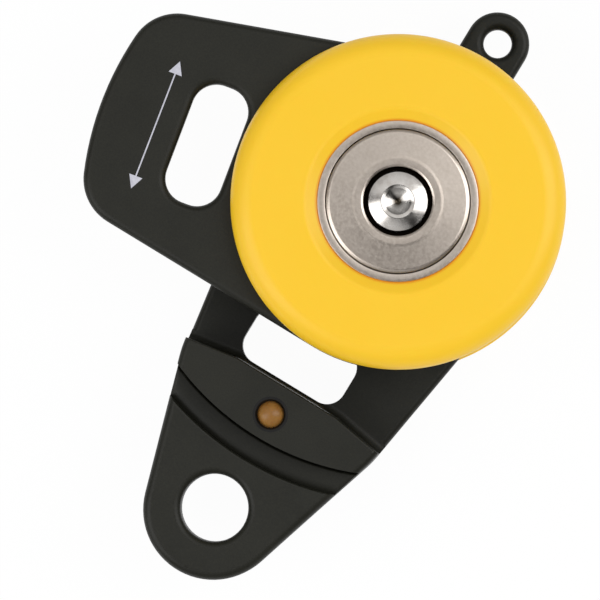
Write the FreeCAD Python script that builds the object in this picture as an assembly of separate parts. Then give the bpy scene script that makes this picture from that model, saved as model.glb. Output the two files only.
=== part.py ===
import FreeCAD, Part
import math
import os

# Snatch block for 12 mm rope, in millimetres.
# Z is the axle, and the sheave turns about it. The block lies on its far disc, at Z = 0.
# The head and its eye point along -Y, the small tail eye along +Y.
# The near cheek is modelled closed, over the boss of the frame, and then swung open.

# Rope and sheave
rope_dia = 12.0
groove_depth = 4.6
rim_flat = 0.5
sheave_edge_round = 0.3
web_recess_depth = 1.2
web_recess_width = 4.2
web_rib = 1.6
pocket_step = 1.5
side_gap = 0.4

# Side discs
disc_lap = 5.0
disc_thick = 6.0
disc_rim_round = 4.1
disc_foot_round = 0.8
collar_run = 2.2
collar_drop = 1.0
collar_lap = 0.2
collar_round = 2.0

# Cheeks
cheek_thick = 4.0
cheek_round = 1.2

# Frame, seen along the axle
frame_hub_inset = 3.9
strut_taper = 8.7
kink_on = 3.7
kink_round = 20.0
head_radius = 12.65
head_back = 10.7
head_thick = 9.0
head_round = 1.5
head_eye_radius = 6.1
head_eye_shift = 0.4
eye_rim_round = 1.3

# Window between the struts, and the boss that crosses them
window_half_width = 10.4
window_shift = 1.3
window_lap = 2.5
window_ledge = 0.6
window_round = 3.5
rope_way = 8.8
boss_depth = 10.3
boss_front_lean = 0.165
boss_gap = 0.3
boss_round = 1.2
boss_lip_round = 0.4
wall_foot_round = 1.5
wall_foot_run = 1.8
groove_width = 4.6
groove_sink = 2.0
groove_bow = 0.9
groove_edge_round = 0.5
ramp_back = 4.4
ramp_length = 11.0
ramp_round = 9.0

# Tail eye
tail_stand = 8.0
tail_radius = 5.75
tail_eye_radius = 2.55
tail_root_round = 3.0

# Swinging cheek
open_angle = 79.5
arm_offset = 1.8
arm_hub_inset = 1.7
arm_taper = 10.6
arm_overhang = 2.5
arm_corner = 9.0
arm_round = 1.3
slot_gap = 0.6
slot_shift = 2.6
slot_width = 10.3
slot_length = 22.2
slot_end_flat = 0.65
lip_gap = 0.3
lip_end_inset = 1.5
lip_floor_gap = 0.5
lip_round = 0.6

# Hub: bushes, caps, axle and bearing
axle_radius = 4.0
axle_head_radius = 5.5
axle_seat = 3.8
head_sink = 0.1
head_dome = 0.8
dimple_lip_radius = 3.0
head_dimple_radius = 2.4
head_dimple_depth = 1.5
cap_lap = 2.75
cap_round = 1.25
cap_hole_gap = 0.7
cap_step_width = 1.7
cap_step = 0.2
cap_hole_round = 0.35
edge_break = 0.2
cap_sink = 0.5
journal_radius = 10.0
fit_gap = 0.05
bush_gap = 0.25
bush_wall = 0.9
bush_flange = 0.5
bush_flange_thick = 1.4
lip_over = 0.6
liner_wall = 1.0
liner_flange = 0.5
play = 0.1
inner_race_radius = 7.0
outer_race_wall = 1.5
roller_count = 12
roller_radius = 1.45
cage_wall = 1.6
cage_end = 0.9
cage_gap = 0.28
pocket_gap = 0.12
thrust_thick = 0.8
thrust_gap = 0.6

# Detent in the boss
ball_radius = 2.6
ball_shift = 0.45
ball_proud = 0.62
mouth_bite = 0.18
mouth_flare = 0.33
seat_gap = 0.012
barrel_wall = 0.55
barrel_floor = 0.9
spring_wire = 0.4
spring_radius = 1.56
spring_length = 3.4
spring_turns = 4.5
spring_gap = 0.03
track_room = 0.33
pocket_room = 0.7
dimple_radius = 2.3
ridge_end_angle = 7.0

# Radii of the bearing and the sheave, from the axle outwards
sheave_bore = inner_race_radius + 2 * roller_radius + 2 * fit_gap
roller_ring = inner_race_radius + fit_gap + roller_radius
race_seat = sheave_bore + outer_race_wall
hub_pocket_radius = race_seat + pocket_step
recess_in = hub_pocket_radius + web_rib
recess_out = recess_in + web_recess_width
sheave_radius = recess_out + web_rib + groove_depth
sheave_width = rope_dia + 2 * rim_flat

# Places in plan, from the sheave outwards
disc_radius = sheave_radius + disc_lap
frame_hub_radius = disc_radius - frame_hub_inset
arm_hub_radius = disc_radius - arm_hub_inset
tail_reach = frame_hub_radius + tail_stand
window_top = disc_radius - window_lap
slot_place = disc_radius + slot_gap + slot_width / 2
slot_corner = slot_width / 2 - slot_end_flat
boss_front = disc_radius + rope_way
kink_place = boss_front + kink_on
window_end = boss_front - window_ledge
ramp_start = boss_front + ramp_back
ramp_end = ramp_start + ramp_length
boss_back_radius = boss_front + boss_depth
ball_place = boss_front + boss_depth / 2 + ball_shift
groove_back_radius = boss_back_radius + groove_width
arm_reach = groove_back_radius + arm_overhang
head_reach = groove_back_radius + head_back
head_eye_place = head_reach - head_eye_shift

# Levels along the axle
far_low = disc_thick
far_top = far_low + cheek_thick
middle = far_top + side_gap + sheave_width / 2
near_low = middle + sheave_width / 2 + side_gap
near_top = near_low + cheek_thick
top = near_top + disc_thick
boss_top = near_low - boss_gap
head_low = middle - head_thick / 2
head_top = middle + head_thick / 2
groove_floor = head_top - groove_sink

# Radii and levels of the hub, with levels counted from the middle plane
cap_radius = journal_radius + cap_lap
cap_hole_radius = axle_head_radius + cap_hole_gap
cap_step_radius = cap_hole_radius + cap_step_width
bush_bore = cap_radius + bush_gap
bush_radius = bush_bore + bush_wall
flange_radius = bush_radius + bush_flange
collar_radius = flange_radius + collar_run
liner_radius = journal_radius + fit_gap + liner_wall
thrust_radius = hub_pocket_radius - thrust_gap
lip_low = near_low - middle
lip_high = lip_low + cheek_thick + lip_over
face_level = top - middle
flange_level = face_level - collar_drop
cap_level = face_level - cap_sink
cap_low = lip_high + liner_flange + play
seat_level = cap_level - axle_seat
race_end = lip_low - 2 * play
thrust_high = race_end - play
thrust_low = thrust_high - thrust_thick
cage_half = thrust_low - cage_gap
roller_pocket_half = cage_half - cage_end
roller_half = roller_pocket_half - pocket_gap
hub_face = thrust_low - play

# Levels of the detent
ball_level = boss_top + ball_proud - ball_radius
crown_level = ball_level + ball_radius
mouth_radius = ball_radius - mouth_bite
mouth_level = ball_level + math.sqrt((ball_radius + seat_gap) ** 2 - mouth_radius ** 2)
barrel_bore = ball_radius + fit_gap
barrel_radius = barrel_bore + barrel_wall
wire_reach = ball_radius + spring_wire / 2 + spring_gap
spring_high = ball_level - math.sqrt(wire_reach ** 2 - spring_radius ** 2)
spring_low = spring_high - spring_length
barrel_inside = spring_low - spring_wire / 2 - spring_gap
barrel_low = barrel_inside - barrel_floor


def vec(x, y, z=0.0):
    return FreeCAD.Vector(x, y, z)


def polar(radius, degrees, x=0.0, y=0.0):
    angle = math.radians(degrees)
    return vec(x + radius * math.cos(angle), y + radius * math.sin(angle))


def cylinder(radius, low, high, x=0.0, y=0.0):
    return Part.makeCylinder(radius, high - low, vec(x, y, low))


# A closed outline from corners (x, y) or (x, y, corner radius)
def profile(corners):
    count = len(corners)
    starts = []
    ends = []
    arcs = []
    for i, corner in enumerate(corners):
        here = vec(corner[0], corner[1])
        radius = corner[2] if len(corner) > 2 else 0.0
        if radius == 0.0:
            starts.append(here)
            ends.append(here)
            arcs.append(None)
            continue
        before = vec(*corners[i - 1][:2])
        after = vec(*corners[(i + 1) % count][:2])
        back = (before - here).normalize()
        on = (after - here).normalize()
        half = back.getAngle(on) / 2
        reach = radius / math.tan(half)
        inward = (back + on).normalize()
        middle_point = here + inward * (radius / math.sin(half) - radius)
        starts.append(here + back * reach)
        ends.append(here + on * reach)
        arcs.append(Part.Arc(starts[i], middle_point, ends[i]).toShape())
    edges = []
    for i in range(count):
        if arcs[i]:
            edges.append(arcs[i])
        goal = starts[(i + 1) % count]
        if ends[i].distanceToPoint(goal) > 1e-6:
            edges.append(Part.makeLine(ends[i], goal))
    return Part.Face(Part.Wire(edges))


# A closed outline from arcs (x, y, radius, start angle, end angle), joined by straight lines
def outline(arcs):
    edges = []
    for i, (x, y, radius, start, end) in enumerate(arcs):
        first = polar(radius, start, x, y)
        last = polar(radius, end, x, y)
        edges.append(Part.Arc(first, polar(radius, (start + end) / 2, x, y), last).toShape())
        x, y, radius, start, end = arcs[(i + 1) % len(arcs)]
        following = polar(radius, start, x, y)
        if last.distanceToPoint(following) > 1e-6:
            edges.append(Part.makeLine(last, following))
    return Part.Face(Part.Wire(edges))


def plate(face, low, high):
    return face.extrude(vec(0, 0, high - low)).translated(vec(0, 0, low))


# A round piece from a profile of (radius, level) corners, turned about an upright axis at (x, y)
def spun(corners, x=0.0, y=0.0):
    face = profile(corners).rotated(vec(0, 0), vec(1, 0), 90)
    return face.revolve(vec(0, 0), vec(0, 0, 1), 360).translated(vec(x, y))


# A round piece on the axle, with its levels counted from the middle plane
def turned(corners):
    return spun(corners).translated(vec(0, 0, middle))


# The same piece on the far side of the sheave
def far_side(shape):
    return shape.mirror(vec(0, 0, middle), vec(0, 0, 1))


# Rounds the whole edge of a flat piece at each of the given levels
def round_rim(solid, radius, levels):
    edges = []
    for edge in solid.Edges:
        box = edge.BoundBox
        for level in levels:
            if abs(box.ZMin - level) < 1e-4 and abs(box.ZMax - level) < 1e-4:
                edges.append(edge)
    return solid.makeFillet(radius, edges)


# A round through hole with rounded rims
def eye_cutter(radius, rim, low, high, x, y):
    flare = radius + rim
    corners = [(0, low), (flare, low), (radius, low, rim), (radius, high, rim), (flare, high), (0, high)]
    return spun(corners, x, y)


# Where two lines cross, each given by the angle of its normal and its distance from the axle
def crossing(angle_a, distance_a, angle_b, distance_b):
    a = polar(1, angle_a)
    b = polar(1, angle_b)
    bottom = a.x * b.y - a.y * b.x
    x = (distance_a * b.y - distance_b * a.y) / bottom
    y = (distance_b * a.x - distance_a * b.x) / bottom
    return vec(x, y)


# Taper of the head's sides, which touch the round head and meet the struts at the kink
def head_sides():
    taper = math.radians(strut_taper)
    kink_x = (frame_hub_radius - kink_place * math.sin(taper)) / math.cos(taper)
    along = head_reach - kink_place
    return math.degrees(math.acos(head_radius / math.hypot(kink_x, along)) - math.atan2(along, kink_x))


# Outline of the frame: hub, two straight sides with a kink, and the round head
def frame_outline():
    head_taper = head_sides()
    side_distance = head_radius + head_reach * math.sin(math.radians(head_taper))
    kink = crossing(-strut_taper, frame_hub_radius - kink_round, -head_taper, side_distance - kink_round)
    return outline([
        (0, 0, frame_hub_radius, -strut_taper, 180 + strut_taper),
        (-kink.x, kink.y, kink_round, 180 + strut_taper, 180 + head_taper),
        (0, -head_reach, head_radius, 180 + head_taper, 360 - head_taper),
        (kink.x, kink.y, kink_round, 360 - head_taper, 360 - strut_taper),
    ])


# One stretch of the frame: the outline up to a level, with its upper edge rounded, inside a region
def frame_stretch(high, edge_round, region):
    blank = plate(frame_outline(), far_low, high)
    return round_rim(blank, edge_round, [high]).common(region)


# Everything on the axle's side of the boss's front wall
def front_region():
    far_out = 4 * disc_radius
    lean_y = -boss_front - boss_front_lean * (far_out - window_half_width)
    corners = [(-far_out, lean_y), (-window_half_width, -boss_front), (window_half_width, -boss_front),
               (far_out, lean_y), (far_out, far_out), (-far_out, far_out)]
    return plate(profile(corners), far_low, top)


# Everything on the axle's side of the groove's back wall, whose upper edge is rounded
def groove_region():
    flare = groove_back_radius + groove_edge_round
    return spun([
        (0, far_low),
        (groove_back_radius, far_low),
        (groove_back_radius, head_top, groove_edge_round),
        (flare, head_top),
        (flare, top),
        (0, top),
    ])


# Everything under the floor of the groove, which bows up between the two walls
def floor_region():
    low = groove_floor - groove_bow
    middle_radius = (boss_back_radius + groove_back_radius) / 2
    bow = Part.Arc(vec(groove_back_radius, low), vec(middle_radius, groove_floor), vec(boss_back_radius, low))
    corners = [vec(boss_back_radius, low), vec(boss_back_radius, 0), vec(groove_back_radius, 0),
               vec(groove_back_radius, low)]
    face = Part.Face(Part.Wire([bow.toShape()] + Part.makePolygon(corners).Edges))
    return face.rotated(vec(0, 0), vec(1, 0), 90).revolve(vec(0, 0), vec(0, 0, 1), 360)


# The head's underside rises from the cheek's outer face to its own level
def under_cutter():
    far_out = 3 * disc_radius
    corners = [(-ramp_start + ramp_round, far_low), (-ramp_start, far_low, ramp_round),
               (-ramp_end, head_low, ramp_round), (-far_out, head_low),
               (-far_out, 0), (-ramp_start + ramp_round, 0)]
    side = profile(corners).rotated(vec(0, 0), vec(1, 0), 90).rotated(vec(0, 0), vec(0, 0, 1), 90)
    return side.extrude(vec(2 * far_out, 0)).translated(vec(-far_out, 0))


def window_cutter():
    left = -window_shift - window_half_width
    right = -window_shift + window_half_width
    corners = [(left, -window_end, window_round), (right, -window_end, window_round),
               (right, -window_top, window_round), (left, -window_top, window_round)]
    return plate(profile(corners), 0, far_top + cheek_thick)


# The strap of the tail eye, blended into the round cheek
def cheek_blank():
    strap = outline([(0, tail_reach, tail_radius, 0, 180), (0, 0, tail_radius, 180, 360)])
    blank = plate(frame_outline(), far_low, far_top).fuse(plate(strap, far_low, far_top)).removeSplitter()
    roots = []
    for edge in blank.Edges:
        box = edge.BoundBox
        beside = box.YMin > tail_radius and abs(box.Center.x) > tail_radius - 0.01
        if beside and box.ZLength > cheek_thick / 2:
            roots.append(edge)
    return blank.makeFillet(tail_root_round, roots)


# Edges where a face that looks down meets an upright one
def foot_edges(solid):
    chosen = []
    for edge in solid.Edges:
        looks = []
        for face in solid.ancestorsOfType(edge, Part.Face):
            looks.append(face.normalAt(*face.Surface.parameter(edge.CenterOfMass)).z)
        if len(looks) == 2 and min(looks) < -0.5 and max(looks) < 0.01:
            chosen.append(edge)
    return chosen


# Edges along the front wall of the boss at one level
def wall_edges(solid, level):
    chosen = []
    for edge in solid.Edges:
        box = edge.BoundBox
        flat = abs(box.ZMin - level) < 1e-4 and abs(box.ZMax - level) < 1e-4
        on_wall = edge.CenterOfMass.y < 1e-4 - boss_front and edge.Curve.TypeId == "Part::GeomLine"
        if flat and on_wall and box.YLength < box.XLength / 4:
            chosen.append(edge)
    return chosen


# Everything between the boss's front wall, with its foot rounded and its upper edge eased, and its round back
def boss_region():
    before = front_region()
    strip = cylinder(boss_back_radius, far_low, far_top).cut(before.translated(vec(0, wall_foot_run)))
    block = cylinder(boss_back_radius, far_low, boss_top).cut(before).fuse(strip).removeSplitter()
    block = block.makeFillet(wall_foot_round, wall_edges(block, far_top))
    return block.makeFillet(boss_lip_round, wall_edges(block, boss_top))


def frame():
    front = front_region()
    inside_groove = groove_region()
    far_out = 3 * disc_radius
    half_space = Part.makeBox(2 * far_out, far_out, top, vec(-far_out, -far_out, 0))

    cheek = round_rim(cheek_blank(), cheek_round, [far_top]).common(front)
    boss = frame_stretch(boss_top, boss_round, boss_region())
    groove = frame_stretch(groove_floor, boss_round, half_space.common(floor_region()))
    head = frame_stretch(head_top, head_round, half_space.cut(inside_groove))
    body = cheek.fuse([boss, groove, head]).removeSplitter()
    body = body.cut(under_cutter())
    body = body.makeFillet(cheek_round, foot_edges(body))
    body = body.cut(window_cutter())
    body = body.cut(eye_cutter(head_eye_radius, eye_rim_round, head_low, head_top, 0, -head_eye_place))
    body = body.cut(eye_cutter(tail_eye_radius, eye_rim_round, far_low, far_top, 0, tail_reach))
    body = body.cut(cylinder(bush_radius, 0, top))
    return body.cut(cylinder(barrel_radius, barrel_low, top, 0, -ball_place))


# Outline of the swinging cheek, closed, or a smaller one inside it by the inset
def arm_outline(inset=0.0):
    corner_reach = arm_reach - arm_corner
    swing = arm_taper + math.degrees(math.acos((arm_hub_radius - arm_corner) / corner_reach))
    right = polar(corner_reach, 360 - swing)
    face = outline([
        (0, 0, arm_hub_radius - inset, -arm_taper, 180 + arm_taper),
        (-right.x, right.y, arm_corner - inset, 180 + arm_taper, 180 + swing),
        (0, 0, arm_reach - inset, 180 + swing, 360 - swing),
        (right.x, right.y, arm_corner - inset, 360 - swing, 360 - arm_taper),
    ])
    return face.translated(vec(arm_offset, 0))


def ring(inner, outer, low, high):
    return cylinder(outer, low, high).cut(cylinder(inner, low, high))


def slot_cutter():
    half_long = slot_length / 2
    near = -slot_place + slot_width / 2
    far = -slot_place - slot_width / 2
    corners = [(slot_shift - half_long, far, slot_corner), (slot_shift + half_long, far, slot_corner),
               (slot_shift + half_long, near, slot_corner), (slot_shift - half_long, near, slot_corner)]
    return plate(profile(corners), near_low, near_top)


# The lip under the cheek's end that hooks behind the boss
def hook_lip():
    low = groove_floor + lip_floor_gap
    high = near_low + cheek_thick / 2
    band = ring(boss_back_radius + lip_gap, groove_back_radius - lip_gap, low, high)
    lip = band.common(plate(arm_outline(lip_end_inset), low, high))
    return round_rim(lip, lip_round, [low])


# The path of the ball under the cheek: a shallow track, deeper past the two ridges and at the dimple
def detent_track():
    over = crown_level - near_low
    half_wide = math.sqrt(ball_radius ** 2 - (ball_radius - over) ** 2) + track_room
    inner = ball_place - half_wide
    outer = ball_place + half_wide
    track = ring(inner, outer, near_low, crown_level + track_room)
    right = polar(2 * arm_reach, 270 + ridge_end_angle)
    wedge = plate(profile([(0, 0), (-right.x, right.y), (right.x, right.y)]), near_low, near_top)
    pockets = ring(inner, outer, near_low, crown_level + pocket_room).cut(wedge)
    depth = crown_level + pocket_room - near_low
    dimple = Part.makeCone(dimple_radius, half_wide, depth, vec(0, -ball_place, near_low))
    return [track, pockets, dimple]


def swing_cheek():
    arm = plate(arm_outline(), near_low, near_top).cut(slot_cutter())
    arm = round_rim(arm, arm_round, [near_low, near_top])
    arm = arm.fuse(hook_lip()).removeSplitter()
    arm = arm.cut(detent_track())
    arm = arm.cut(cylinder(bush_radius, near_low, near_top))
    return arm.rotated(vec(0, 0), vec(0, 0, 1), -open_angle)


# Moulded side disc, with a collar that dips to the bush
def disc():
    seat = flange_level - bush_flange_thick
    return turned([
        (bush_radius, near_top - middle),
        (bush_radius, seat),
        (flange_radius, seat),
        (flange_radius, flange_level - collar_lap),
        (collar_radius, face_level, collar_round),
        (disc_radius, face_level, disc_rim_round),
        (disc_radius, near_top - middle, disc_foot_round),
    ])


# Flanged bush that clamps disc and cheek together and turns on the cap's journal
def bush():
    seat = flange_level - bush_flange_thick
    return turned([
        (liner_radius, lip_low),
        (liner_radius, lip_high),
        (bush_bore, lip_high),
        (bush_bore, flange_level, edge_break),
        (flange_radius, flange_level, edge_break),
        (flange_radius, seat),
        (bush_radius, seat),
        (bush_radius, lip_low, edge_break),
    ])


def cheek_liner():
    bore = journal_radius + fit_gap
    return turned([
        (bore, lip_low),
        (bore, lip_high + liner_flange),
        (bush_bore - play, lip_high + liner_flange),
        (bush_bore - play, lip_high),
        (liner_radius, lip_high),
        (liner_radius, lip_low),
    ])


def cap():
    bore = axle_radius + fit_gap
    step_level = cap_level + cap_step
    return turned([
        (bore, race_end),
        (bore, seat_level),
        (cap_hole_radius, seat_level),
        (cap_hole_radius, step_level, cap_hole_round),
        (cap_step_radius, step_level, cap_step),
        (cap_step_radius + cap_step, cap_level, cap_step),
        (cap_radius, cap_level, cap_round),
        (cap_radius, cap_low),
        (journal_radius, cap_low),
        (journal_radius, race_end, edge_break),
    ])


# Riveted axle: a round shaft with a domed and dimpled head at each end
def axle():
    crest = cap_level - head_sink
    half = [
        (axle_radius, seat_level),
        (axle_head_radius, seat_level),
        (axle_head_radius, crest - head_dome, 2 * edge_break),
        (dimple_lip_radius, crest, 2 * edge_break),
        (head_dimple_radius, crest - edge_break, edge_break),
        (0, crest - head_dimple_depth),
    ]
    other = [(corner[0], -corner[1], *corner[2:]) for corner in reversed(half)]
    return turned(half + other)


def bearing_race(inner, outer, half_long):
    return turned([
        (inner, -half_long),
        (inner, half_long),
        (outer, half_long, edge_break),
        (outer, -half_long, edge_break),
    ])


def thrust_ring():
    bore = inner_race_radius + play
    return turned([
        (bore, thrust_low),
        (bore, thrust_high),
        (thrust_radius, thrust_high),
        (thrust_radius, thrust_low),
    ])


def roller_places():
    return [polar(roller_ring, i * 360 / roller_count) for i in range(roller_count)]


def rollers():
    return Part.makeCompound([
        cylinder(roller_radius, middle - roller_half, middle + roller_half, place.x, place.y)
        for place in roller_places()
    ])


def roller_cage():
    low = middle - cage_half
    high = middle + cage_half
    sleeve = ring(roller_ring - cage_wall / 2, roller_ring + cage_wall / 2, low, high)
    pocket_radius = roller_radius + pocket_gap
    pocket_low = middle - roller_pocket_half
    pocket_high = middle + roller_pocket_half
    return sleeve.cut([
        cylinder(pocket_radius, pocket_low, pocket_high, place.x, place.y) for place in roller_places()
    ])


def sheave():
    half = sheave_width / 2
    deep = half - web_recess_depth
    side = [
        (race_seat, hub_face),
        (hub_pocket_radius, hub_face),
        (hub_pocket_radius, half),
        (recess_in, half),
        (recess_in, deep, web_recess_depth / 2),
        (recess_out, deep, web_recess_depth / 2),
        (recess_out, half),
        (sheave_radius, half, sheave_edge_round),
    ]
    other = [(corner[0], -corner[1], *corner[2:]) for corner in reversed(side)]
    wheel = turned(side + other)
    groove_radius = rope_dia / 2
    torus_radius = sheave_radius - groove_depth + groove_radius
    return wheel.cut(Part.makeTorus(torus_radius, groove_radius, vec(0, 0, middle)))


def detent_barrel():
    return spun([
        (0, barrel_low),
        (barrel_radius, barrel_low),
        (barrel_radius, boss_top),
        (mouth_radius + mouth_flare, boss_top),
        (mouth_radius, mouth_level),
        (barrel_bore, mouth_level - mouth_bite - fit_gap),
        (barrel_bore, barrel_inside),
        (0, barrel_inside),
    ], 0, -ball_place)


def detent_spring():
    pitch = spring_length / spring_turns
    helix = Part.makeHelix(pitch, spring_length, spring_radius)
    section = Part.Wire(Part.makeCircle(spring_wire / 2, vec(spring_radius, 0), vec(0, 1)))
    coil = Part.Wire(helix).makePipeShell([section], True, True)
    return coil.translated(vec(0, -ball_place, spring_low))


def detent_ball():
    return Part.makeSphere(ball_radius, vec(0, -ball_place, ball_level))


pieces = {
    "frame": frame(),
    "lower_disc": far_side(disc()),
    "lower_bush": far_side(bush()),
    "lower_liner": far_side(cheek_liner()),
    "lower_cap": far_side(cap()),
    "axle": axle(),
    "upper_cap": cap(),
    "inner_race": bearing_race(axle_radius + fit_gap, inner_race_radius, race_end),
    "lower_thrust_ring": far_side(thrust_ring()),
    "upper_thrust_ring": thrust_ring(),
    "swing_cheek": swing_cheek(),
    "upper_disc": disc(),
    "upper_bush": bush(),
    "upper_liner": cheek_liner(),
    "sheave": sheave(),
    "outer_race": bearing_race(sheave_bore, race_seat, hub_face),
    "roller_cage": roller_cage(),
    "rollers": rollers(),
    "detent_barrel": detent_barrel(),
    "detent_spring": detent_spring(),
    "detent_ball": detent_ball(),
}

os.makedirs("parts", exist_ok=True)
for name, shape in pieces.items():
    shape.exportStep("parts/" + name + ".step")
    print(name, len(shape.Solids), round(shape.Volume, 1), shape.isValid())
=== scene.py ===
import math
import bmesh
import bpy
from mathutils import Matrix, Vector


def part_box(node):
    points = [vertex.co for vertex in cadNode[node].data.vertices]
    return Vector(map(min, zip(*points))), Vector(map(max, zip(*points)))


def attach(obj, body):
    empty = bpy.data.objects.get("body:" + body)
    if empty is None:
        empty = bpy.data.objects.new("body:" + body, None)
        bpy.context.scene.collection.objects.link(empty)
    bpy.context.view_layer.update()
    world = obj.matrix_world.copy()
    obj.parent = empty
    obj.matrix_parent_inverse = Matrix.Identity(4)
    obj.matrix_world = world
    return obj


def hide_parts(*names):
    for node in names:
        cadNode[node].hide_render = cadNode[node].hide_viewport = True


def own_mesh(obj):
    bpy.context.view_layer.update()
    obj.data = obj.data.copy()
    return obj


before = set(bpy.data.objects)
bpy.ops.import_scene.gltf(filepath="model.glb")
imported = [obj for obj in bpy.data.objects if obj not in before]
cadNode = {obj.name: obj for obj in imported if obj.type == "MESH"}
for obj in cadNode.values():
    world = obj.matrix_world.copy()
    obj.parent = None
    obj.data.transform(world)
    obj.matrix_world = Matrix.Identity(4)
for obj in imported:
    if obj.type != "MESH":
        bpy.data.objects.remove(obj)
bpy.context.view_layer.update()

mm = 0.001

# The axle stands at x = 0, y = 0, and turned pieces count their levels from the sheave's middle plane
sheaveLow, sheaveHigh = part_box("sheave")
middleLevel = (sheaveLow.z + sheaveHigh.z) / 2
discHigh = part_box("upper_disc")[1]
print("frame loaded, middle plane at %.2f mm" % (middleLevel / mm))


def addNode(tree, kind, **settings):
    new = tree.nodes.new(kind)
    for key, value in settings.items():
        setattr(new, key, value)
    return new


# Each link is (from node, from socket, to node, to socket)
def wire(tree, *links):
    for fromNode, fromSocket, toNode, toSocket in links:
        tree.links.new(fromNode.outputs[fromSocket], toNode.inputs[toSocket])


def startTree(name, inputs):
    tree = bpy.data.node_groups.new(name, "GeometryNodeTree")
    tree.interface.new_socket("Geometry", in_out="INPUT", socket_type="NodeSocketGeometry")
    tree.interface.new_socket("Geometry", in_out="OUTPUT", socket_type="NodeSocketGeometry")
    for label, kind in inputs.items():
        tree.interface.new_socket(label, in_out="INPUT", socket_type="NodeSocket" + kind)
    return tree, addNode(tree, "NodeGroupInput"), addNode(tree, "NodeGroupOutput")


# Ends a tree the way every tree here ends: no instances, and one finish
def endTree(tree, given, out, last, socket="Geometry"):
    realize = addNode(tree, "GeometryNodeRealizeInstances")
    finish = addNode(tree, "GeometryNodeSetMaterial")
    wire(tree, (last, socket, realize, "Geometry"), (realize, "Geometry", finish, "Geometry"),
         (given, "Finish", finish, "Material"), (finish, "Geometry", out, "Geometry"))


# Runs a tree on a starting mesh and keeps the result as a plain mesh object
def bakeTree(name, startMesh, tree, values):
    source = bpy.data.objects.new(name + "Source", startMesh)
    bpy.context.scene.collection.objects.link(source)
    modifier = source.modifiers.new(tree.name, "NODES")
    modifier.node_group = tree
    for item in tree.interface.items_tree:
        if item.item_type == "SOCKET" and item.in_out == "INPUT" and item.name in values:
            modifier[item.identifier] = values[item.name]
    soft = source.modifiers.new("Even Shading", "WEIGHTED_NORMAL")
    soft.keep_sharp = True
    bpy.context.view_layer.update()
    evaluated = source.evaluated_get(bpy.context.evaluated_depsgraph_get())
    piece = bpy.data.objects.new(name, bpy.data.meshes.new_from_object(evaluated))
    bpy.context.scene.collection.objects.link(piece)
    bpy.data.objects.remove(source)
    return piece


turning = {"segments": 288, "cornerStepsPerMm": 5, "leastCornerSteps": 3, "sweepRadius": 10,
           "creaseDegrees": 28, "weld": 0.0005}


# Sweeps a profile round the axle: corners get their fillets, then the seam and the poles are merged
def makeTurnedTree():
    tree, given, out = startTree("Turned Piece", {
        "Segments": "Int", "Corner Steps per Metre": "Float", "Sweep Radius": "Float",
        "Crease Angle": "Float", "Centre": "Vector", "Finish": "Material"})
    outline = addNode(tree, "GeometryNodeMeshToCurve")
    corner = addNode(tree, "GeometryNodeInputNamedAttribute", data_type="FLOAT")
    corner.inputs["Name"].default_value = "corner"
    steps = addNode(tree, "ShaderNodeMath", operation="MULTIPLY_ADD")
    steps.inputs[2].default_value = turning["leastCornerSteps"]
    fillet = addNode(tree, "GeometryNodeFilletCurve", mode="POLY")
    wire(tree, (given, "Geometry", outline, "Mesh"), (outline, "Curve", fillet, "Curve"),
         (corner, "Attribute", fillet, "Radius"), (corner, "Attribute", steps, 0),
         (given, "Corner Steps per Metre", steps, 1), (steps, "Value", fillet, "Count"))

    # The profile is laid flat, radius along X from the sweep's circle and level down Y
    place = addNode(tree, "GeometryNodeInputPosition")
    split = addNode(tree, "ShaderNodeSeparateXYZ")
    inward = addNode(tree, "ShaderNodeMath", operation="SUBTRACT")
    flip = addNode(tree, "ShaderNodeMath", operation="MULTIPLY")
    flip.inputs[1].default_value = -1
    flat = addNode(tree, "ShaderNodeCombineXYZ")
    lay = addNode(tree, "GeometryNodeSetPosition")
    wire(tree, (place, "Position", split, "Vector"), (split, "X", inward, 0),
         (given, "Sweep Radius", inward, 1), (split, "Z", flip, 0), (inward, "Value", flat, "X"),
         (flip, "Value", flat, "Y"), (fillet, "Curve", lay, "Geometry"), (flat, "Vector", lay, "Position"))

    circle = addNode(tree, "GeometryNodeCurvePrimitiveCircle", mode="RADIUS")
    upright = addNode(tree, "GeometryNodeSetCurveNormal", mode="Z_UP")
    sweep = addNode(tree, "GeometryNodeCurveToMesh")
    merge = addNode(tree, "GeometryNodeMergeByDistance")
    merge.inputs["Distance"].default_value = turning["weld"] * mm
    wire(tree, (given, "Segments", circle, "Resolution"), (given, "Sweep Radius", circle, "Radius"),
         (circle, "Curve", upright, "Curve"), (upright, "Curve", sweep, "Curve"),
         (lay, "Geometry", sweep, "Profile Curve"), (sweep, "Mesh", merge, "Geometry"))

    smooth = addNode(tree, "GeometryNodeSetShadeSmooth", domain="FACE")
    smooth.inputs["Shade Smooth"].default_value = True
    angle = addNode(tree, "GeometryNodeInputMeshEdgeAngle")
    sharp = addNode(tree, "FunctionNodeCompare", data_type="FLOAT", operation="GREATER_THAN")
    crease = addNode(tree, "GeometryNodeSetShadeSmooth", domain="EDGE")
    crease.inputs["Shade Smooth"].default_value = False
    move = addNode(tree, "GeometryNodeTransform")
    wire(tree, (merge, "Geometry", smooth, "Geometry"), (smooth, "Geometry", crease, "Geometry"),
         (angle, "Unsigned Angle", sharp, "A"), (given, "Crease Angle", sharp, "B"),
         (sharp, "Result", crease, "Selection"), (crease, "Geometry", move, "Geometry"),
         (given, "Centre", move, "Translation"))
    endTree(tree, given, out, move)
    return tree


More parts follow.
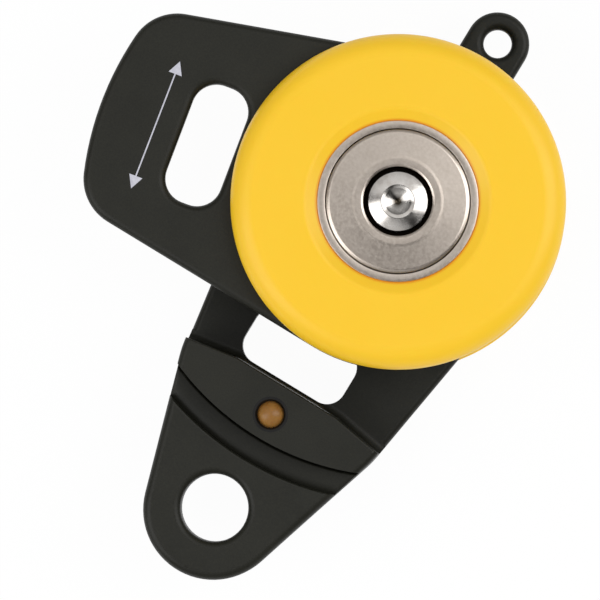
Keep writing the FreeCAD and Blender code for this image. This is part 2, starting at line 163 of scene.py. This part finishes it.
# Stands copies of one turned roller on a circle round the axle
def makeRollerTree():
    tree, given, out = startTree("Roller Ring", {
        "Count": "Int", "Ring Radius": "Float", "Centre": "Vector", "Finish": "Material"})
    ring = addNode(tree, "GeometryNodeCurvePrimitiveCircle", mode="RADIUS")
    spread = addNode(tree, "GeometryNodeInstanceOnPoints")
    move = addNode(tree, "GeometryNodeTransform")
    wire(tree, (given, "Count", ring, "Resolution"), (given, "Ring Radius", ring, "Radius"),
         (ring, "Curve", spread, "Points"), (given, "Geometry", spread, "Instance"),
         (spread, "Instances", move, "Geometry"), (given, "Centre", move, "Translation"))
    endTree(tree, given, out, move)
    return tree


# The line that a turned tree sweeps, in the order that turns its faces outwards
def profileMesh(name, corners, closed):
    if closed:
        area = sum(a[0] * b[1] - b[0] * a[1] for a, b in zip(corners, corners[1:] + corners[:1]))
        if area > 0:
            corners = corners[::-1]
    elif corners[0][1] < corners[-1][1]:
        corners = corners[::-1]
    count = len(corners)
    edges = [(i, i + 1) for i in range(count - 1)] + ([(count - 1, 0)] if closed else [])
    mesh = bpy.data.meshes.new(name + "Profile")
    mesh.from_pydata([(corner[0] * mm, 0, corner[1] * mm) for corner in corners], edges, [])
    rounding = mesh.attributes.new("corner", "FLOAT", "POINT")
    for i, corner in enumerate(corners):
        rounding.data[i].value = (corner[2] if len(corner) > 2 else 0) * mm
    return mesh


turnedTree = makeTurnedTree()
rollerTree = makeRollerTree()


# A turned blank from (radius, level, corner radius) corners in mm
def turnBlank(name, corners, finish, closed, centre, segments):
    return bakeTree(name, profileMesh(name, corners, closed), turnedTree, {
        "Segments": segments,
        "Corner Steps per Metre": turning["cornerStepsPerMm"] / mm,
        "Sweep Radius": turning["sweepRadius"] * mm,
        "Crease Angle": math.radians(turning["creaseDegrees"]),
        "Centre": centre,
        "Finish": finish,
    })


# The same in place of a CAD node, on the body that carries it
def turnPiece(name, corners, finish, body, replaced, closed=True, centre=Vector((0, 0, middleLevel))):
    piece = turnBlank(name, corners, finish, closed, centre, turning["segments"])
    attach(piece, body)
    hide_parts(replaced)
    return piece


def newFinish(name, values):
    finish = bpy.data.materials.new(name)
    finish.use_nodes = True
    shader = finish.node_tree.nodes["Principled BSDF"]
    for socket, value in values.items():
        shader.inputs[socket].default_value = value
    return finish, finish.node_tree, shader


# Detail of the grain's noise, and the noise values that are spread over a whole change of roughness or colour
noiseUse = {"grainDetail": 3, "roughSpan": (0.35, 0.65), "colourSpan": (0.3, 0.7)}


def objectNoise(tree, size, detail):
    where = addNode(tree, "ShaderNodeTexCoord")
    noise = addNode(tree, "ShaderNodeTexNoise")
    noise.inputs["Scale"].default_value = 1 / (size * mm)
    noise.inputs["Detail"].default_value = detail
    wire(tree, (where, "Object", noise, "Vector"))
    return noise


def blotchNoise(tree, values):
    return objectNoise(tree, values["blotch"], values["blotchDetail"])


# Lets a noise move the roughness between a finish's two limits
def varyRoughness(tree, source, values, shader):
    spread = addNode(tree, "ShaderNodeMapRange")
    spread.inputs["From Min"].default_value, spread.inputs["From Max"].default_value = noiseUse["roughSpan"]
    spread.inputs["To Min"].default_value = values["roughLow"]
    spread.inputs["To Max"].default_value = values["roughHigh"]
    wire(tree, (source, "Fac", spread, "Value"), (spread, "Result", shader, "Roughness"))


# A mix node takes colours at inputs 6 and 7 and gives one at output 2; for numbers these are 2, 3 and 0
def blendColours(tree, source, socket, first, second, target, span):
    mix = addNode(tree, "ShaderNodeMix", data_type="RGBA")
    mix.inputs[6].default_value = first
    mix.inputs[7].default_value = second
    spread = addNode(tree, "ShaderNodeMapRange")
    spread.inputs["From Min"].default_value, spread.inputs["From Max"].default_value = span
    wire(tree, (source, socket, spread, "Value"), (spread, "Result", mix, 0))
    tree.links.new(mix.outputs[2], target)


# Between a finish's dark and light tone, by a noise
def mottle(tree, source, socket, values, target):
    dark, light = colour(*values["dark"]), colour(*values["light"])
    blendColours(tree, source, socket, dark, light, target, noiseUse["colourSpan"])


def grainBump(tree, shader, values):
    noise = objectNoise(tree, values["grain"], noiseUse["grainDetail"])
    bump = addNode(tree, "ShaderNodeBump")
    bump.inputs["Strength"].default_value = values["grainStrength"]
    bump.inputs["Distance"].default_value = values["grainDepth"] * mm
    wire(tree, (noise, "Fac", bump, "Height"), (bump, "Normal", shader, "Normal"))


# One for a ray from the camera, off something glossy or through something clear, and nought for the rest
def shineShare(tree):
    seen = addNode(tree, "ShaderNodeLightPath")
    direct = addNode(tree, "ShaderNodeMath", operation="MAXIMUM")
    shine = addNode(tree, "ShaderNodeMath", operation="MAXIMUM")
    wire(tree, (seen, "Is Camera Ray", direct, 0), (seen, "Is Glossy Ray", direct, 1),
         (direct, "Value", shine, 0), (seen, "Is Transmission Ray", shine, 1))
    return shine


# Distance from the axle, for tones that follow the turning
def axleDistance(tree):
    where = addNode(tree, "ShaderNodeTexCoord")
    plan = addNode(tree, "ShaderNodeVectorMath", operation="MULTIPLY")
    plan.inputs[1].default_value = (1, 1, 0)
    length = addNode(tree, "ShaderNodeVectorMath", operation="LENGTH")
    wire(tree, (where, "Object", plan, 0), (plan, "Vector", length, 0))
    return length


# A picture's tone, 0 to 255 in each channel, as the linear one that materials take
def colour(red, green, blue):
    linear = [((c / 255 + 0.055) / 1.055) ** 2.4 if c > 10 else c / 255 / 12.92 for c in (red, green, blue)]
    return (*linear, 1)


# Satin black coat of the two forged cheeks, with a fine speckle
coat = {"dark": (24, 24, 18), "light": (35, 35, 27), "blotch": 9, "blotchDetail": 4, "speckle": 0.28,
        "speckleDetail": 2, "speckleShare": 0.65, "specular": 0.3, "roughLow": 0.42, "roughHigh": 0.52,
        "grain": 0.35, "grainDepth": 0.02, "grainStrength": 0.35}
blackCoat, tree, shader = newFinish("BlackCoat", {"Specular IOR Level": coat["specular"]})
blotch = blotchNoise(tree, coat)
speckle = objectNoise(tree, coat["speckle"], coat["speckleDetail"])
both = addNode(tree, "ShaderNodeMix")
both.inputs[0].default_value = coat["speckleShare"]
wire(tree, (blotch, "Fac", both, 2), (speckle, "Fac", both, 3))
mottle(tree, both, 0, coat, shader.inputs["Base Color"])
varyRoughness(tree, blotch, coat, shader)
grainBump(tree, shader, coat)

# Moulded yellow plastic, with a painted orange ring of shade and bounced yellow light where it dips to the
# bush
plastic = {"face": (245, 197, 36), "hub": (226, 128, 14), "hubShadeFrom": 14.4, "hubShadeTo": 14.95, "specular": 0.4,
           "glowShare": 0.12, "glowColour": (0.8, 0.4, 0.1), "glowDepth": 1.5, "blotch": 12,
           "blotchDetail": 3, "roughLow": 0.36, "roughHigh": 0.44, "grain": 0.6, "grainDepth": 0.012,
           "grainStrength": 0.25}
yellowPlastic, tree, shader = newFinish("YellowPlastic", {
    "Specular IOR Level": plastic["specular"], "Subsurface Weight": plastic["glowShare"],
    "Subsurface Radius": plastic["glowColour"], "Subsurface Scale": plastic["glowDepth"] * mm})
# Painted shade: the orange hub tone by the bush stands for shade and light bounced off the yellow, and fades
# to the face tone outwards
blendColours(tree, axleDistance(tree), "Value", colour(*plastic["hub"]), colour(*plastic["face"]),
             shader.inputs["Base Color"], (plastic["hubShadeFrom"] * mm, plastic["hubShadeTo"] * mm))
varyRoughness(tree, blotchNoise(tree, plastic), plastic, shader)
grainBump(tree, shader, plastic)

# Bead blasted steel of the bushes and caps, with painted shade down in the hole round the axle's head
blasted = {"dark": (203, 191, 179), "light": (214, 203, 192), "blotch": 0.5, "blotchDetail": 5,
           "roughLow": 0.3, "roughHigh": 0.36, "grain": 0.16, "grainDepth": 0.006, "grainStrength": 0.5,
           "hole": (22, 17, 12), "paintedShadeRadius": 6.21}
satinSteel, tree, shader = newFinish("SatinSteel", {"Metallic": 1.0})
blotch = blotchNoise(tree, blasted)
# Painted shade: within the given radius of the axle, the steel takes the dark hole tone in place of its own
pastPaintedShade = addNode(tree, "ShaderNodeMath", operation="GREATER_THAN")
pastPaintedShade.inputs[1].default_value = blasted["paintedShadeRadius"] * mm
hole = addNode(tree, "ShaderNodeMix", data_type="RGBA")
hole.inputs[6].default_value = colour(*blasted["hole"])
wire(tree, (axleDistance(tree), "Value", pastPaintedShade, 0), (pastPaintedShade, "Value", hole, 0),
     (hole, 2, shader, "Base Color"))
mottle(tree, blotch, "Fac", blasted, hole.inputs[7])
varyRoughness(tree, blotch, blasted, shader)
grainBump(tree, shader, blasted)

# Polished steel of the axle, races and spring, a little uneven, with a painted dark reflection at the middle
# of the axle's dimple
polished = {"dark": (196, 190, 184), "light": (228, 224, 219), "blotch": 1.6, "blotchDetail": 4,
            "roughLow": 0.16, "roughHigh": 0.28, "paintedReflection": (58, 52, 44), "paintedReflectionFrom": 0.5, "paintedReflectionTo": 1.5}
brightSteel, tree, shader = newFinish("BrightSteel", {"Metallic": 1.0})
blotch = blotchNoise(tree, polished)
# Painted reflection: the dark tone at the dimple's middle stands for the dark overhead mirrored in it, and
# fades out over the given radii from the axle
paintedReflectionMix = addNode(tree, "ShaderNodeMix", data_type="RGBA")
paintedReflectionMix.inputs[6].default_value = colour(*polished["paintedReflection"])
paintedReflectionSpread = addNode(tree, "ShaderNodeMapRange")
paintedReflectionSpread.inputs["From Min"].default_value = polished["paintedReflectionFrom"] * mm
paintedReflectionSpread.inputs["From Max"].default_value = polished["paintedReflectionTo"] * mm
wire(tree, (axleDistance(tree), "Value", paintedReflectionSpread, "Value"), (paintedReflectionSpread, "Result", paintedReflectionMix, 0),
     (paintedReflectionMix, 2, shader, "Base Color"))
mottle(tree, blotch, "Fac", polished, paintedReflectionMix.inputs[7])
varyRoughness(tree, blotch, polished, shader)

# Acetal of the ball and the rollers, brown and a little translucent
acetal = {"dark": (124, 83, 34), "light": (150, 107, 52), "blotch": 2.5, "blotchDetail": 3, "roughness": 0.34,
          "specular": 0.35, "glowShare": 0.2, "glowColour": (0.9, 0.4, 0.15), "glowDepth": 0.8}
tanPlastic, tree, shader = newFinish("TanPlastic", {
    "Roughness": acetal["roughness"], "Specular IOR Level": acetal["specular"],
    "Subsurface Weight": acetal["glowShare"], "Subsurface Radius": acetal["glowColour"],
    "Subsurface Scale": acetal["glowDepth"] * mm})
mottle(tree, blotchNoise(tree, acetal), "Fac", acetal, shader.inputs["Base Color"])

# White bearing plastic of the liners and thrust rings
liner = {"dark": (214, 210, 200), "light": (228, 225, 217), "blotch": 3, "blotchDetail": 3, "roughness": 0.48,
         "grain": 0.4, "grainDepth": 0.01, "grainStrength": 0.3}
whiteLiner, tree, shader = newFinish("WhiteLiner", {"Roughness": liner["roughness"]})
mottle(tree, blotchNoise(tree, liner), "Fac", liner, shader.inputs["Base Color"])
grainBump(tree, shader, liner)

# Hard anodised sheave, with fine turning marks
anodised = {"dark": (34, 34, 35), "light": (46, 46, 47), "metal": 0.6, "blotch": 4, "blotchDetail": 4,
            "roughLow": 0.3, "roughHigh": 0.42, "mark": 4.4, "markBend": 0.3, "markDepth": 0.004,
            "markStrength": 0.4}
blackSheave, tree, shader = newFinish("BlackSheave", {"Metallic": anodised["metal"]})
blotch = blotchNoise(tree, anodised)
mottle(tree, blotch, "Fac", anodised, shader.inputs["Base Color"])
varyRoughness(tree, blotch, anodised, shader)
where = addNode(tree, "ShaderNodeTexCoord")
rings = addNode(tree, "ShaderNodeTexWave", wave_type="RINGS", rings_direction="Z")
rings.inputs["Scale"].default_value = 1 / (anodised["mark"] * mm)
rings.inputs["Distortion"].default_value = anodised["markBend"]
marks = addNode(tree, "ShaderNodeBump")
marks.inputs["Strength"].default_value = anodised["markStrength"]
marks.inputs["Distance"].default_value = anodised["markDepth"] * mm
wire(tree, (where, "Object", rings, "Vector"), (rings, "Fac", marks, "Height"),
     (marks, "Normal", shader, "Normal"))

# Black nylon of the roller cage and the ball's barrel
nylon = {"dark": (20, 20, 20), "light": (30, 30, 29), "blotch": 2, "blotchDetail": 3, "roughness": 0.5,
         "specular": 0.2}
blackCage, tree, shader = newFinish("BlackCage", {
    "Roughness": nylon["roughness"], "Specular IOR Level": nylon["specular"]})
mottle(tree, blotchNoise(tree, nylon), "Fac", nylon, shader.inputs["Base Color"])

# Silver grey print on the swinging cheek
ink = {"dark": (182, 182, 194), "light": (200, 200, 210), "blotch": 0.8, "blotchDetail": 3, "roughness": 0.5}
silverInk, tree, shader = newFinish("SilverInk", {"Roughness": ink["roughness"]})
mottle(tree, blotchNoise(tree, ink), "Fac", ink, shader.inputs["Base Color"])
print("finishes made")

# The CAD nodes that stay take their slot's finish
finishOfSlot = {
    "black_alloy": blackCoat, "yellow_plastic": yellowPlastic, "satin_steel": satinSteel,
    "bright_steel": brightSteel, "white_liner": whiteLiner, "black_sheave": blackSheave,
    "black_cage": blackCage, "tan_plastic": tanPlastic,
}
for one in cadNode.values():
    for place in one.material_slots:
        place.material = finishOfSlot[place.material.name.split(".")[0]]

# Radii, levels and depths in mm, shared by the pieces of the hub
hub = {"capRadius": 12.75, "bushGap": 0.25, "bushWall": 0.9, "flange": 0.5, "flangeThick": 1.4,
       "collarDrop": 1.0, "journal": 10.0, "fitGap": 0.05, "linerWall": 1.0, "lipLow": 6.9, "lipHigh": 11.5,
       "capSink": 0.5, "axleSeat": 3.8}
faceLevel = (discHigh.z - middleLevel) / mm
cheekTop = (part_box("upper_disc")[0].z - middleLevel) / mm
flangeLevel = faceLevel - hub["collarDrop"]
flangeSeat = flangeLevel - hub["flangeThick"]
bushBore = hub["capRadius"] + hub["bushGap"]
bushRadius = bushBore + hub["bushWall"]
flangeRadius = bushRadius + hub["flange"]
linerRadius = hub["journal"] + hub["fitGap"] + hub["linerWall"]
capLevel = faceLevel - hub["capSink"]
seatLevel = capLevel - hub["axleSeat"]

disc = {"collar": 16.6, "collarLap": 0.2, "collarRound": 2.0, "rimRound": 4.1, "footRound": 0.8}
discCorners = [
    (bushRadius, cheekTop), (bushRadius, flangeSeat), (flangeRadius, flangeSeat),
    (flangeRadius, flangeLevel - disc["collarLap"]), (disc["collar"], faceLevel, disc["collarRound"]),
    (discHigh.x / mm, faceLevel, disc["rimRound"]), (discHigh.x / mm, cheekTop, disc["footRound"]),
]

bush = {"edge": 0.13}
bushCorners = [
    (linerRadius, hub["lipLow"]), (linerRadius, hub["lipHigh"]), (bushBore, hub["lipHigh"]),
    (bushBore, flangeLevel, bush["edge"]), (flangeRadius, flangeLevel, bush["edge"]),
    (flangeRadius, flangeSeat), (bushRadius, flangeSeat), (bushRadius, hub["lipLow"], bush["edge"]),
]

# The cap's face stands up a little round the hole, and falls to a slope just inside the rim
cap = {"bore": 4.05, "foot": 6.7, "footEdge": 0.2, "under": 12.1, "swell": 0.06, "edge": 0.1, "fall": 0.26,
       "slope": 0.55, "slopeDrop": 0.5, "slopeRound": 1.0, "hole": 6.2, "holeRim": 0.38, "holeDrop": 0.16,
       "holeRound": 0.12, "step": 0.06, "stepRun": 0.5, "stepRadius": 7.7, "stepRound": 2.5}
capEdge = hub["capRadius"] + cap["swell"]
capCorners = [
    (cap["bore"], cap["foot"]), (cap["bore"], seatLevel), (cap["hole"], seatLevel),
    (cap["hole"], capLevel + cap["step"] - cap["holeDrop"], cap["holeRound"]),
    (cap["hole"] + cap["holeRim"], capLevel + cap["step"], cap["holeRound"]),
    (cap["stepRadius"], capLevel + cap["step"], cap["stepRound"]),
    (cap["stepRadius"] + cap["stepRun"], capLevel, cap["stepRound"]),
    (capEdge - cap["slope"], capLevel - cap["fall"], cap["slopeRound"]),
    (capEdge, capLevel - cap["slopeDrop"], cap["edge"]),
    (capEdge, cap["under"]), (hub["journal"], cap["under"]), (hub["journal"], cap["foot"], cap["footEdge"]),
]

axle = {"shaft": 4.0, "head": 5.5, "headSink": 0.1, "dome": 0.8, "edge": 0.4, "lip": 3.0, "dimple": 2.4,
        "dimpleEdge": 0.2, "dimpleDepth": 1.4, "tip": 0.3, "tipDrop": 1.36}
crest = capLevel - axle["headSink"]
axleHalf = [
    (0, crest - axle["dimpleDepth"]), (axle["tip"], crest - axle["tipDrop"]),
    (axle["dimple"], crest - axle["dimpleEdge"], axle["dimpleEdge"]),
    (axle["lip"], crest, axle["edge"]), (axle["head"], crest - axle["dome"], axle["edge"]),
    (axle["head"], seatLevel), (axle["shaft"], seatLevel),
]


# The same corners below the sheave's middle plane
def otherSide(corners):
    return [(corner[0], -corner[1], *corner[2:]) for corner in corners]


for side, body, mirror in (("upper", "cheek_body", list), ("lower", "frame_body", otherSide)):
    turnPiece(side + "SideDisc", mirror(discCorners), yellowPlastic, body, side + "_disc")
    turnPiece(side + "HubBush", mirror(bushCorners), satinSteel, body, side + "_bush")
    turnPiece(side + "HubCap", mirror(capCorners), satinSteel, "frame_body", side + "_cap")
turnPiece("rivetedAxle", axleHalf + otherSide(axleHalf)[::-1], brightSteel, "frame_body", "axle",
          closed=False)
print("discs, bushes, caps and axle turned")

copying = {"weld": 0.0005, "creaseDegrees": 24}


# Stands in for a CAD node of the main cheek's body with a merged copy, each point moved as reshape says
def copyNode(name, node, finish, reshape=None):
    shell = bmesh.new()
    shell.from_mesh(cadNode[node].data)
    bmesh.ops.remove_doubles(shell, verts=shell.verts, dist=copying["weld"] * mm)
    if reshape:
        for vert in shell.verts:
            reshape(vert.co)
    for face in shell.faces:
        face.smooth = True
    for edge in shell.edges:
        edge.smooth = edge.calc_face_angle(0) < math.radians(copying["creaseDegrees"])
    mesh = bpy.data.meshes.new(name)
    shell.to_mesh(mesh)
    shell.free()
    mesh.materials.clear()
    mesh.materials.append(finish)
    piece = bpy.data.objects.new(name, mesh)
    bpy.context.scene.collection.objects.link(piece)
    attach(piece, "frame_body")
    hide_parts(node)
    return piece


# The channel past the boss: a narrow slit by the boss, then a level floor that dips a little past its crest
channel = {"crest": 51.4, "halfWidth": 2.3, "bow": 0.9, "floor": 19.4, "slitFrom": 2.1, "dipShare": 0.5,
           "rounding": 0.35, "slack": 0.0005}
bowRadius = (channel["halfWidth"] ** 2 + channel["bow"] ** 2) / (2 * channel["bow"])


def levelChannel(point):
    inward = channel["crest"] - math.hypot(point.x, point.y) / mm
    if point.y < 0 and -channel["halfWidth"] - channel["slack"] < inward < channel["slitFrom"]:
        sag = bowRadius - math.sqrt(bowRadius ** 2 - inward ** 2)
        if -channel["rounding"] < point.z / mm - channel["floor"] + sag < channel["slack"]:
            point.z += sag * mm if inward > 0 else sag * (1 - channel["dipShare"]) * mm


mainCheek = copyNode("mainCheek", "frame", blackCoat, levelChannel)
mainCheek.modifiers.new("Even Shading", "WEIGHTED_NORMAL").keep_sharp = True

# The spring under the ball, which shortens as the ball is pressed, as a merged copy with a mesh of its own
detentSpring = copyNode("detentSpring", "detent_spring", brightSteel)
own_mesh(detentSpring)
print("main cheek and spring made")

wheel = {"seat": 11.5, "hubFace": 5.7, "pocket": 13.0, "rib": 1.6, "recess": 4.2, "recessDepth": 1.2,
         "recessRound": 0.6, "ropeRadius": 6.0, "grooveDepth": 4.6, "edge": 0.3, "grooveSteps": 48}
wheelRadius = sheaveHigh.x / mm
wheelHalf = (sheaveHigh.z - middleLevel) / mm
recessIn = wheel["pocket"] + wheel["rib"]
recessOut = recessIn + wheel["recess"]
recessFloor = wheelHalf - wheel["recessDepth"]
wheelSide = [
    (wheel["seat"], wheel["hubFace"]), (wheel["pocket"], wheel["hubFace"]), (wheel["pocket"], wheelHalf),
    (recessIn, wheelHalf), (recessIn, recessFloor, wheel["recessRound"]),
    (recessOut, recessFloor, wheel["recessRound"]), (recessOut, wheelHalf),
    (wheelRadius, wheelHalf, wheel["edge"]),
]
grooveCentre = wheelRadius - wheel["grooveDepth"] + wheel["ropeRadius"]
grooveStart = math.acos((wheelRadius - grooveCentre) / wheel["ropeRadius"])
groove = []
for i in range(wheel["grooveSteps"] + 1):
    turn = grooveStart + (2 * math.pi - 2 * grooveStart) * i / wheel["grooveSteps"]
    groove.append((grooveCentre + wheel["ropeRadius"] * math.cos(turn),
                   wheel["ropeRadius"] * math.sin(turn)))
turnPiece("ropeSheave", wheelSide + groove + otherSide(wheelSide)[::-1], blackSheave, "sheave_body",
          "sheave")

bearing = {"count": 12, "ring": 8.5, "radius": 1.45, "length": 9.0, "endRound": 0.25, "segments": 48}
rollerHalf = [(0, bearing["length"] / 2), (bearing["radius"], bearing["length"] / 2, bearing["endRound"])]
roller = turnBlank("roller", rollerHalf + otherSide(rollerHalf)[::-1], tanPlastic, False, Vector((0, 0, 0)),
                   bearing["segments"])
rollerSet = bakeTree("bearingRollers", roller.data, rollerTree, {
    "Count": bearing["count"], "Ring Radius": bearing["ring"] * mm, "Centre": Vector((0, 0, middleLevel)),
    "Finish": tanPlastic,
})
bpy.data.objects.remove(roller)
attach(rollerSet, "roller_body")
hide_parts("rollers")
print("sheave and rollers made")

ballLow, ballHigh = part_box("detent_ball")
ballCentre = (ballLow + ballHigh) / 2
ballRadius = (ballHigh.z - ballLow.z) / 2 / mm
ball = {"steps": 64}
ballCorners = []
for i in range(ball["steps"] + 1):
    turn = math.pi * i / ball["steps"]
    ballCorners.append((ballRadius * math.sin(turn), ballRadius * math.cos(turn)))
turnPiece("detentBall", ballCorners, tanPlastic, "ball_body", "detent_ball", closed=False,
          centre=ballCentre)

# Two-headed arrow printed across the swinging cheek: the ways it opens
arrow = {"from": (-42.2, -22.7), "to": (-46.5, 1.3), "headLength": 2.4, "headWidth": 2.5, "shaft": 0.25,
         "thick": 0.03}
start = Vector(arrow["from"])
end = Vector(arrow["to"])
along = (end - start).normalized()
across = Vector((-along.y, along.x))
headBase = arrow["headLength"]
length = (end - start).length
shape = [
    (0, 0), (headBase, -arrow["headWidth"] / 2), (headBase, -arrow["shaft"] / 2),
    (length - headBase, -arrow["shaft"] / 2), (length - headBase, -arrow["headWidth"] / 2), (length, 0),
    (length - headBase, arrow["headWidth"] / 2), (length - headBase, arrow["shaft"] / 2),
    (headBase, arrow["shaft"] / 2), (headBase, arrow["headWidth"] / 2),
]
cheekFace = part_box("swing_cheek")[1].z
verts = []
for level in (cheekFace, cheekFace + arrow["thick"] * mm):
    for x, y in shape:
        place = start + along * x + across * y
        verts.append((place.x * mm, place.y * mm, level))
count = len(shape)
top = [(0, 1, 2, 8, 9), (2, 3, 7, 8), (3, 4, 5, 6, 7)]  # head, shaft and head, by the outline's corners
faces = [tuple(i + count for i in face) for face in top] + [face[::-1] for face in top]
faces += [(i, (i + 1) % count, (i + 1) % count + count, i + count) for i in range(count)]
mesh = bpy.data.meshes.new("PrintedArrow")
mesh.from_pydata(verts, [], faces)
mesh.materials.append(silverInk)
printedArrow = bpy.data.objects.new("printedArrow", mesh)
bpy.context.scene.collection.objects.link(printedArrow)
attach(printedArrow, "cheek_body")
print("ball and printed arrow made")

# Pale floor, white to the eye and to anything glossy, that still takes a soft shadow
studio = {"floorHalf": 1.6, "floorTone": (250, 250, 250), "floorGlow": 0.96, "gap": 0.3}
floorMesh = bpy.data.meshes.new("Floor")
half = studio["floorHalf"]
floorCorners = [(-half, -half, 0), (half, -half, 0), (half, half, 0), (-half, half, 0)]
floorMesh.from_pydata(floorCorners, [], [(0, 1, 2, 3)])
floorMesh.transform(Matrix.Translation((0, 0, -studio["gap"] * mm)))
floorFinish = bpy.data.materials.new("FloorPaper")
floorFinish.use_nodes = True
tree = floorFinish.node_tree
tree.nodes.clear()
paper = addNode(tree, "ShaderNodeBsdfDiffuse")
paper.inputs["Color"].default_value = colour(*studio["floorTone"])
glow = addNode(tree, "ShaderNodeEmission")
shine = shineShare(tree)
share = addNode(tree, "ShaderNodeMath", operation="MULTIPLY")
share.inputs[1].default_value = studio["floorGlow"]
mix = addNode(tree, "ShaderNodeMixShader")
out = addNode(tree, "ShaderNodeOutputMaterial")
wire(tree, (shine, "Value", share, 0), (share, "Value", mix, 0), (paper, "BSDF", mix, 1),
     (glow, "Emission", mix, 2), (mix, "Shader", out, "Surface"))
floorMesh.materials.append(floorFinish)
floor = bpy.data.objects.new("Floor", floorMesh)
bpy.context.scene.collection.objects.link(floor)

# Camera high above and leant a little towards +X, its picture turned against the part's axes
view = {"aim": (-5.9, -24.1, 29.7), "distance": 1500, "lean": 0.032, "right": (0.855, 0.518),
        "across": 107.2, "sensor": 36}
aim = Vector(view["aim"]) * mm
back = Vector((view["lean"], 0, 1)).normalized()
pictureRight = Vector((*view["right"], 0)).normalized()
pictureUp = Vector((-pictureRight.y, pictureRight.x, 0))
right = (pictureRight - back * pictureRight.dot(back)).normalized()
cameraData = bpy.data.cameras.new("Camera")
cameraData.sensor_width = view["sensor"]
cameraData.lens = view["sensor"] * view["distance"] / view["across"]
camera = bpy.data.objects.new("Camera", cameraData)
bpy.context.scene.collection.objects.link(camera)
turned = Matrix((right, back.cross(right), back)).transposed().to_4x4()
camera.matrix_world = Matrix.Translation(aim + back * view["distance"] * mm) @ turned
bpy.context.scene.camera = camera

# What shines sees a sky that is bright overhead and dark lower down, and darker still in a band towards the
# picture's foot. What is matt gets light that is all but even.
sky = {"stops": [(0.0, 0.3), (0.45, 0.12), (0.62, 0.28), (0.8, 0.9), (1.0, 0.77)], "footDark": 0.05,
       "footFrom": -0.14, "footTo": 0.12, "lowFrom": -0.62, "lowTo": -0.45, "footTurn": (0.3, 1),
       "fillHead": 0.69, "fillTail": 0.7}
world = bpy.data.worlds.new("Studio")
world.use_nodes = True
# No light is drawn from the world itself, so that what shines sees its own sky alone
world.cycles.sampling_method = "NONE"
bpy.context.scene.world = world
tree = world.node_tree
tree.nodes.clear()
where = addNode(tree, "ShaderNodeTexCoord")


# A tone that changes with how far a ray leans towards a direction
def leanTone(tree, ray, direction, fromLean, toLean, fromTone, toTone):
    lean = addNode(tree, "ShaderNodeVectorMath", operation="DOT_PRODUCT")
    lean.inputs[1].default_value = direction
    spread = addNode(tree, "ShaderNodeMapRange", interpolation_type="SMOOTHSTEP")
    spread.inputs["From Min"].default_value = fromLean
    spread.inputs["From Max"].default_value = toLean
    spread.inputs["To Min"].default_value = fromTone
    spread.inputs["To Max"].default_value = toTone
    wire(tree, (ray, "Generated", lean, 0), (lean, "Value", spread, "Value"))
    return spread


split = addNode(tree, "ShaderNodeSeparateXYZ")
ramp = addNode(tree, "ShaderNodeValToRGB")
stops = ramp.color_ramp.elements
stops.remove(stops[1])
for i, (height, tone) in enumerate(sky["stops"]):
    stop = stops[0] if i == 0 else stops.new(height)
    stop.position = height
    stop.color = (tone, tone, tone, 1)
brightSide = (pictureRight * sky["footTurn"][0] + pictureUp * sky["footTurn"][1]).normalized()
foot = leanTone(tree, where, brightSide, sky["footFrom"], sky["footTo"], sky["footDark"], 1)
low = leanTone(tree, where, brightSide, sky["lowFrom"], sky["lowTo"], 1, sky["footDark"])
shade = addNode(tree, "ShaderNodeMath", operation="MAXIMUM")
headward = (0, -1, 0)
even = leanTone(tree, where, headward, -1, 1, sky["fillTail"], sky["fillHead"])
backdrop = addNode(tree, "ShaderNodeBackground")
fill = addNode(tree, "ShaderNodeBackground")
shine = shineShare(tree)
mix = addNode(tree, "ShaderNodeMixShader")
out = addNode(tree, "ShaderNodeOutputWorld")
wire(tree, (where, "Generated", split, "Vector"), (split, "Z", ramp, "Fac"),
     (ramp, "Color", backdrop, "Color"), (foot, "Result", shade, 0), (low, "Result", shade, 1),
     (shade, "Value", backdrop, "Strength"), (even, "Result", fill, "Strength"), (shine, "Value", mix, 0),
     (fill, "Background", mix, 1), (backdrop, "Background", mix, 2), (mix, "Shader", out, "Surface"))

# Two soft boxes, placed in metres from what the camera aims at, by the picture's own right and up
lamps = {
    "keyBox": {"right": -0.34, "up": -0.14, "height": 0.36, "width": 0.30, "length": 0.50, "watts": 1.2},
    "rightBox": {"right": 0.36, "up": 0.06, "height": 0.36, "width": 0.30, "length": 0.50, "watts": 1.2},
}
for name, box in lamps.items():
    lampData = bpy.data.lights.new(name, "AREA")
    lampData.shape = "RECTANGLE"
    lampData.size = box["width"]
    lampData.size_y = box["length"]
    lampData.energy = box["watts"]
    lamp = bpy.data.objects.new(name, lampData)
    bpy.context.scene.collection.objects.link(lamp)
    stand = aim + pictureRight * box["right"] + pictureUp * box["up"] + Vector((0, 0, box["height"]))
    lamp.location = stand
    lamp.rotation_euler = (aim - stand).to_track_quat("-Z", "Y").to_euler()
    lamp.visible_camera = False

bpy.context.scene.view_settings.view_transform = "Standard"
print("stage, lamps and camera set")
